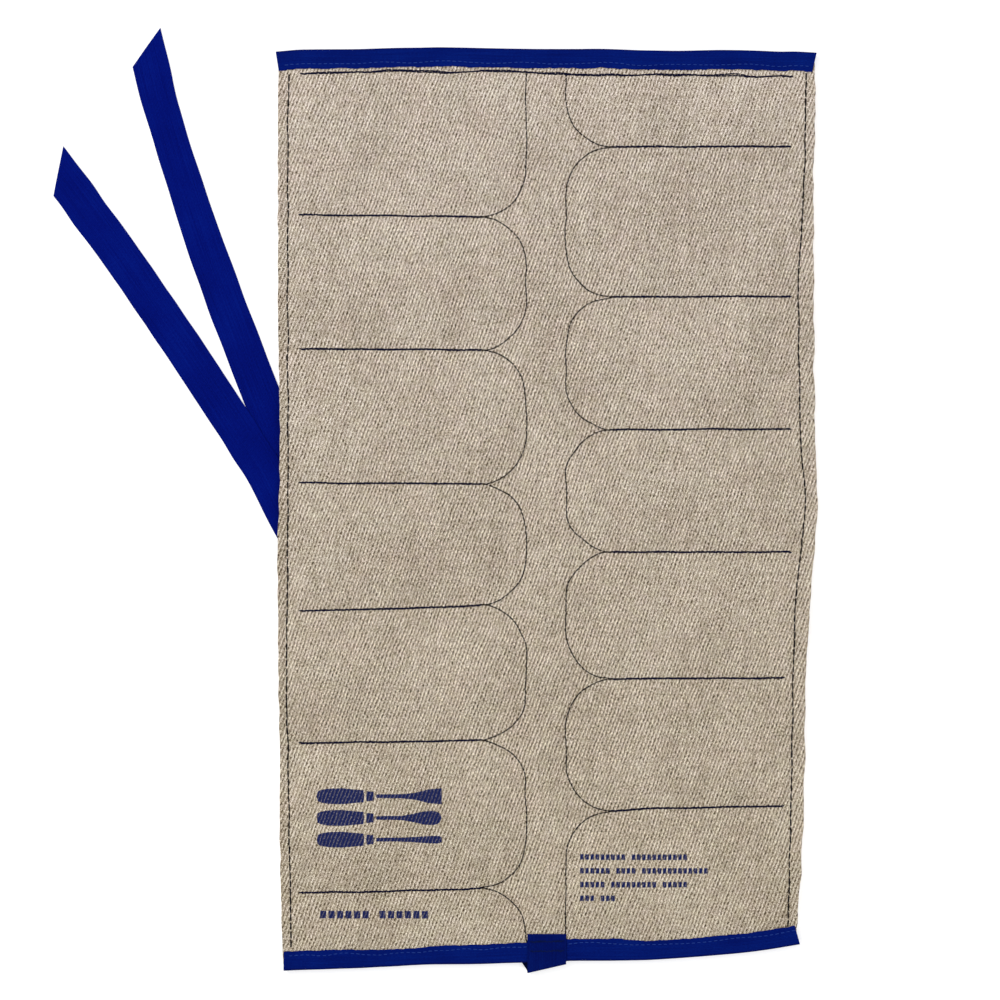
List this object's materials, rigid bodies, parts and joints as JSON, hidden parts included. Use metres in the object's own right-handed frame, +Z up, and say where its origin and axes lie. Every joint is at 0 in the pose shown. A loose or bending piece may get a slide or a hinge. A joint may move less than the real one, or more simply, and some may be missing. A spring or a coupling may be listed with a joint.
{
  "type": "carving tool roll",
  "caption": "Linen tool roll with facing rows of round-ended pockets, tape-bound ends and two long tape ties; it rolls up and the ties swing and lift.",
  "frame": {"origin": "centre of the footprint of the open roll with its ties laid out to the left, on the table plane", "axes": "+X across the roll from the left pocket mouths to the right ones, +Y towards the end that is rolled up first, +Z up, out of the printed face"},
  "size_m": [0.5051, 0.6237, 0.0088],
  "materials": {
    "linen": "natural undyed linen, coarse twill weave",
    "tape": "dark blue woven tape, fine ribs, slight sheen",
    "thread": "navy sewing thread"
  },
  "bodies": {
    "strip_01": {"outer_cloth_01": "linen", "inner_cloth_01": "linen", "stitching_01": "thread", "top_binding": "tape", "top_binding_stitching": "thread"},
    "strip_02": {"outer_cloth_02": "linen", "inner_cloth_02": "linen", "stitching_02": "thread"},
    "strip_03": {"outer_cloth_03": "linen", "inner_cloth_03": "linen", "stitching_03": "thread"},
    "strip_04": {"outer_cloth_04": "linen", "inner_cloth_04": "linen", "stitching_04": "thread"},
    "strip_05": {"outer_cloth_05": "linen", "inner_cloth_05": "linen", "stitching_05": "thread"},
    "strip_06": {"outer_cloth_06": "linen", "inner_cloth_06": "linen", "stitching_06": "thread"},
    "strip_07": {"outer_cloth_07": "linen", "inner_cloth_07": "linen", "stitching_07": "thread"},
    "strip_08": {"outer_cloth_08": "linen", "inner_cloth_08": "linen", "stitching_08": "thread"},
    "strip_09": {"outer_cloth_09": "linen", "inner_cloth_09": "linen", "stitching_09": "thread"},
    "strip_10": {"outer_cloth_10": "linen", "inner_cloth_10": "linen", "stitching_10": "thread"},
    "strip_11": {"outer_cloth_11": "linen", "inner_cloth_11": "linen", "stitching_11": "thread"},
    "strip_12": {"outer_cloth_12": "linen", "inner_cloth_12": "linen", "stitching_12": "thread"},
    "strip_13": {"outer_cloth_13": "linen", "inner_cloth_13": "linen", "stitching_13": "thread"},
    "strip_14": {"outer_cloth_14": "linen", "inner_cloth_14": "linen", "stitching_14": "thread", "bottom_binding": "tape", "bottom_binding_stitching": "thread", "tie_tab": "tape", "tie_tab_stitching": "thread"},
    "tie_a": {"tie_a": "tape"},
    "tie_a_tail": {"tie_a_tail": "tape"},
    "tie_b": {"tie_b": "tape"},
    "tie_b_tail": {"tie_b_tail": "tape"}
  },
  "joints": [
    {"name": "roll_up", "type": "hinge", "parent": "strip_14", "child": "strip_13", "pos_m": [0.073, -0.2666, 0.00875], "axis": [1, 0, 0], "range_deg": [0, 43]},
    {"name": "roll_up_fold_12", "type": "hinge", "parent": "strip_13", "child": "strip_12", "pos_m": [0.073, -0.227, 0.00875], "axis": [1, 0, 0], "range_deg": [0, 44.01]},
    {"name": "roll_up_fold_11", "type": "hinge", "parent": "strip_12", "child": "strip_11", "pos_m": [0.073, -0.1841, 0.00875], "axis": [1, 0, 0], "range_deg": [0, 45.01]},
    {"name": "roll_up_fold_10", "type": "hinge", "parent": "strip_11", "child": "strip_10", "pos_m": [0.073, -0.1379, 0.00875], "axis": [1, 0, 0], "range_deg": [0, 45.01]},
    {"name": "roll_up_fold_09", "type": "hinge", "parent": "strip_10", "child": "strip_09", "pos_m": [0.073, -0.095, 0.00875], "axis": [1, 0, 0], "range_deg": [0, 45.01]},
    {"name": "roll_up_fold_08", "type": "hinge", "parent": "strip_09", "child": "strip_08", "pos_m": [0.073, -0.0521, 0.00875], "axis": [1, 0, 0], "range_deg": [0, 47.01]},
    {"name": "roll_up_fold_07", "type": "hinge", "parent": "strip_08", "child": "strip_07", "pos_m": [0.073, -0.0112, 0.00875], "axis": [1, 0, 0], "range_deg": [0, 50.01]},
    {"name": "roll_up_fold_06", "type": "hinge", "parent": "strip_07", "child": "strip_06", "pos_m": [0.073, 0.031, 0.00875], "axis": [1, 0, 0], "range_deg": [0, 50.01]},
    {"name": "roll_up_fold_05", "type": "hinge", "parent": "strip_06", "child": "strip_05", "pos_m": [0.073, 0.0733, 0.00875], "axis": [1, 0, 0], "range_deg": [0, 53.01]},
    {"name": "roll_up_fold_04", "type": "hinge", "parent": "strip_05", "child": "strip_04", "pos_m": [0.073, 0.1181, 0.00875], "axis": [1, 0, 0], "range_deg": [0, 60.01]},
    {"name": "roll_up_fold_03", "type": "hinge", "parent": "strip_04", "child": "strip_03", "pos_m": [0.073, 0.1643, 0.00875], "axis": [1, 0, 0], "range_deg": [0, 66.01]},
    {"name": "roll_up_fold_02", "type": "hinge", "parent": "strip_03", "child": "strip_02", "pos_m": [0.073, 0.2105, 0.00875], "axis": [1, 0, 0], "range_deg": [0, 69.01]},
    {"name": "roll_up_fold_01", "type": "hinge", "parent": "strip_02", "child": "strip_01", "pos_m": [0.073, 0.2548, 0.00875], "axis": [1, 0, 0], "range_deg": [0, 80.01]},
    {"name": "tie_a_swing", "type": "hinge", "parent": "strip_14", "child": "tie_a", "pos_m": [0.0736, -0.29, 0.00035], "axis": [0, 0, 1], "range_deg": [-25, 140]},
    {"name": "tie_b_swing", "type": "hinge", "parent": "strip_14", "child": "tie_b", "pos_m": [0.0736, -0.29, 0.00115], "axis": [0, 0, 1], "range_deg": [-20, 165]},
    {"name": "tie_a_lift", "type": "hinge", "parent": "tie_a", "child": "tie_a_tail", "pos_m": [-0.1241, 0.0931, 0.0007], "axis": [0.9336, 0.3583, 0], "range_deg": [0, 150]},
    {"name": "tie_b_lift", "type": "hinge", "parent": "tie_b", "child": "tie_b_tail", "pos_m": [-0.154, 0.082, 0.0015], "axis": [0.8321, 0.5547, 0], "range_deg": [0, 150]}
  ],
  "couplings": [
    {"joint": "roll_up_fold_12", "follows": "roll_up", "ratio": 1.0233},
    {"joint": "roll_up_fold_11", "follows": "roll_up", "ratio": 1.0465},
    {"joint": "roll_up_fold_10", "follows": "roll_up", "ratio": 1.0465},
    {"joint": "roll_up_fold_09", "follows": "roll_up", "ratio": 1.0465},
    {"joint": "roll_up_fold_08", "follows": "roll_up", "ratio": 1.093},
    {"joint": "roll_up_fold_07", "follows": "roll_up", "ratio": 1.1628},
    {"joint": "roll_up_fold_06", "follows": "roll_up", "ratio": 1.1628},
    {"joint": "roll_up_fold_05", "follows": "roll_up", "ratio": 1.2326},
    {"joint": "roll_up_fold_04", "follows": "roll_up", "ratio": 1.3953},
    {"joint": "roll_up_fold_03", "follows": "roll_up", "ratio": 1.5349},
    {"joint": "roll_up_fold_02", "follows": "roll_up", "ratio": 1.6047},
    {"joint": "roll_up_fold_01", "follows": "roll_up", "ratio": 1.8605}
  ]
}
